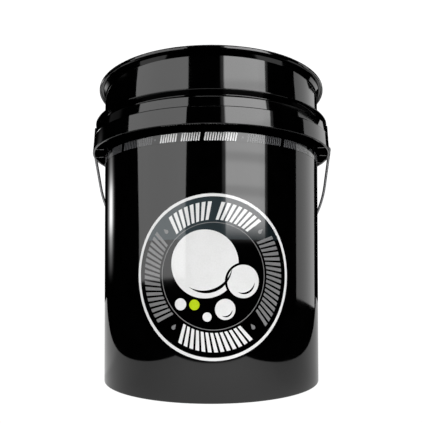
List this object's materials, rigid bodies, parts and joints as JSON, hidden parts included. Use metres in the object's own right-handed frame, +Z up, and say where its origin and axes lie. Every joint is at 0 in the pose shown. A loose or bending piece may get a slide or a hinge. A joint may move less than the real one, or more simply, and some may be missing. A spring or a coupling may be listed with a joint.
{
  "type": "wash bucket",
  "caption": "Round tapered open pail with a snap lid rim, ribbed skirt, wire bail with a spinning grip, and round front label.",
  "frame": {"origin": "middle of the foot plane, on the pail's axis", "axes": "+Z up along the pail's axis; X along the bail's hinge line through the two ears; the round label faces -Y; the resting bail hangs behind, towards +Y"},
  "size_m": [0.3246, 0.3142, 0.37],
  "materials": {
    "pail_plastic": "glossy black polyethylene",
    "wire": "zinc-plated drawn wire, satin",
    "grip_plastic": "satin black polyethylene",
    "label_film": "glossy black film printed in white, grey and yellow-green",
    "band_ink": "gloss ink film printed in white and grey"
  },
  "bodies": {
    "pail": {"pail": "pail_plastic", "round_label": "label_film", "band_print": "band_ink"},
    "bail": {"bail_wire": "wire"},
    "grip": {"bail_grip": "grip_plastic"}
  },
  "joints": [
    {"name": "bail_swing", "type": "hinge", "parent": "pail", "child": "bail", "pos_m": [0, 0, 0.298], "axis": [1, 0, 0], "range_deg": [0, 276]},
    {"name": "grip_spin", "type": "hinge", "parent": "bail", "child": "grip", "pos_m": [0, 0.14767, 0.13223], "axis": [1, 0, 0], "continuous": true}
  ]
}
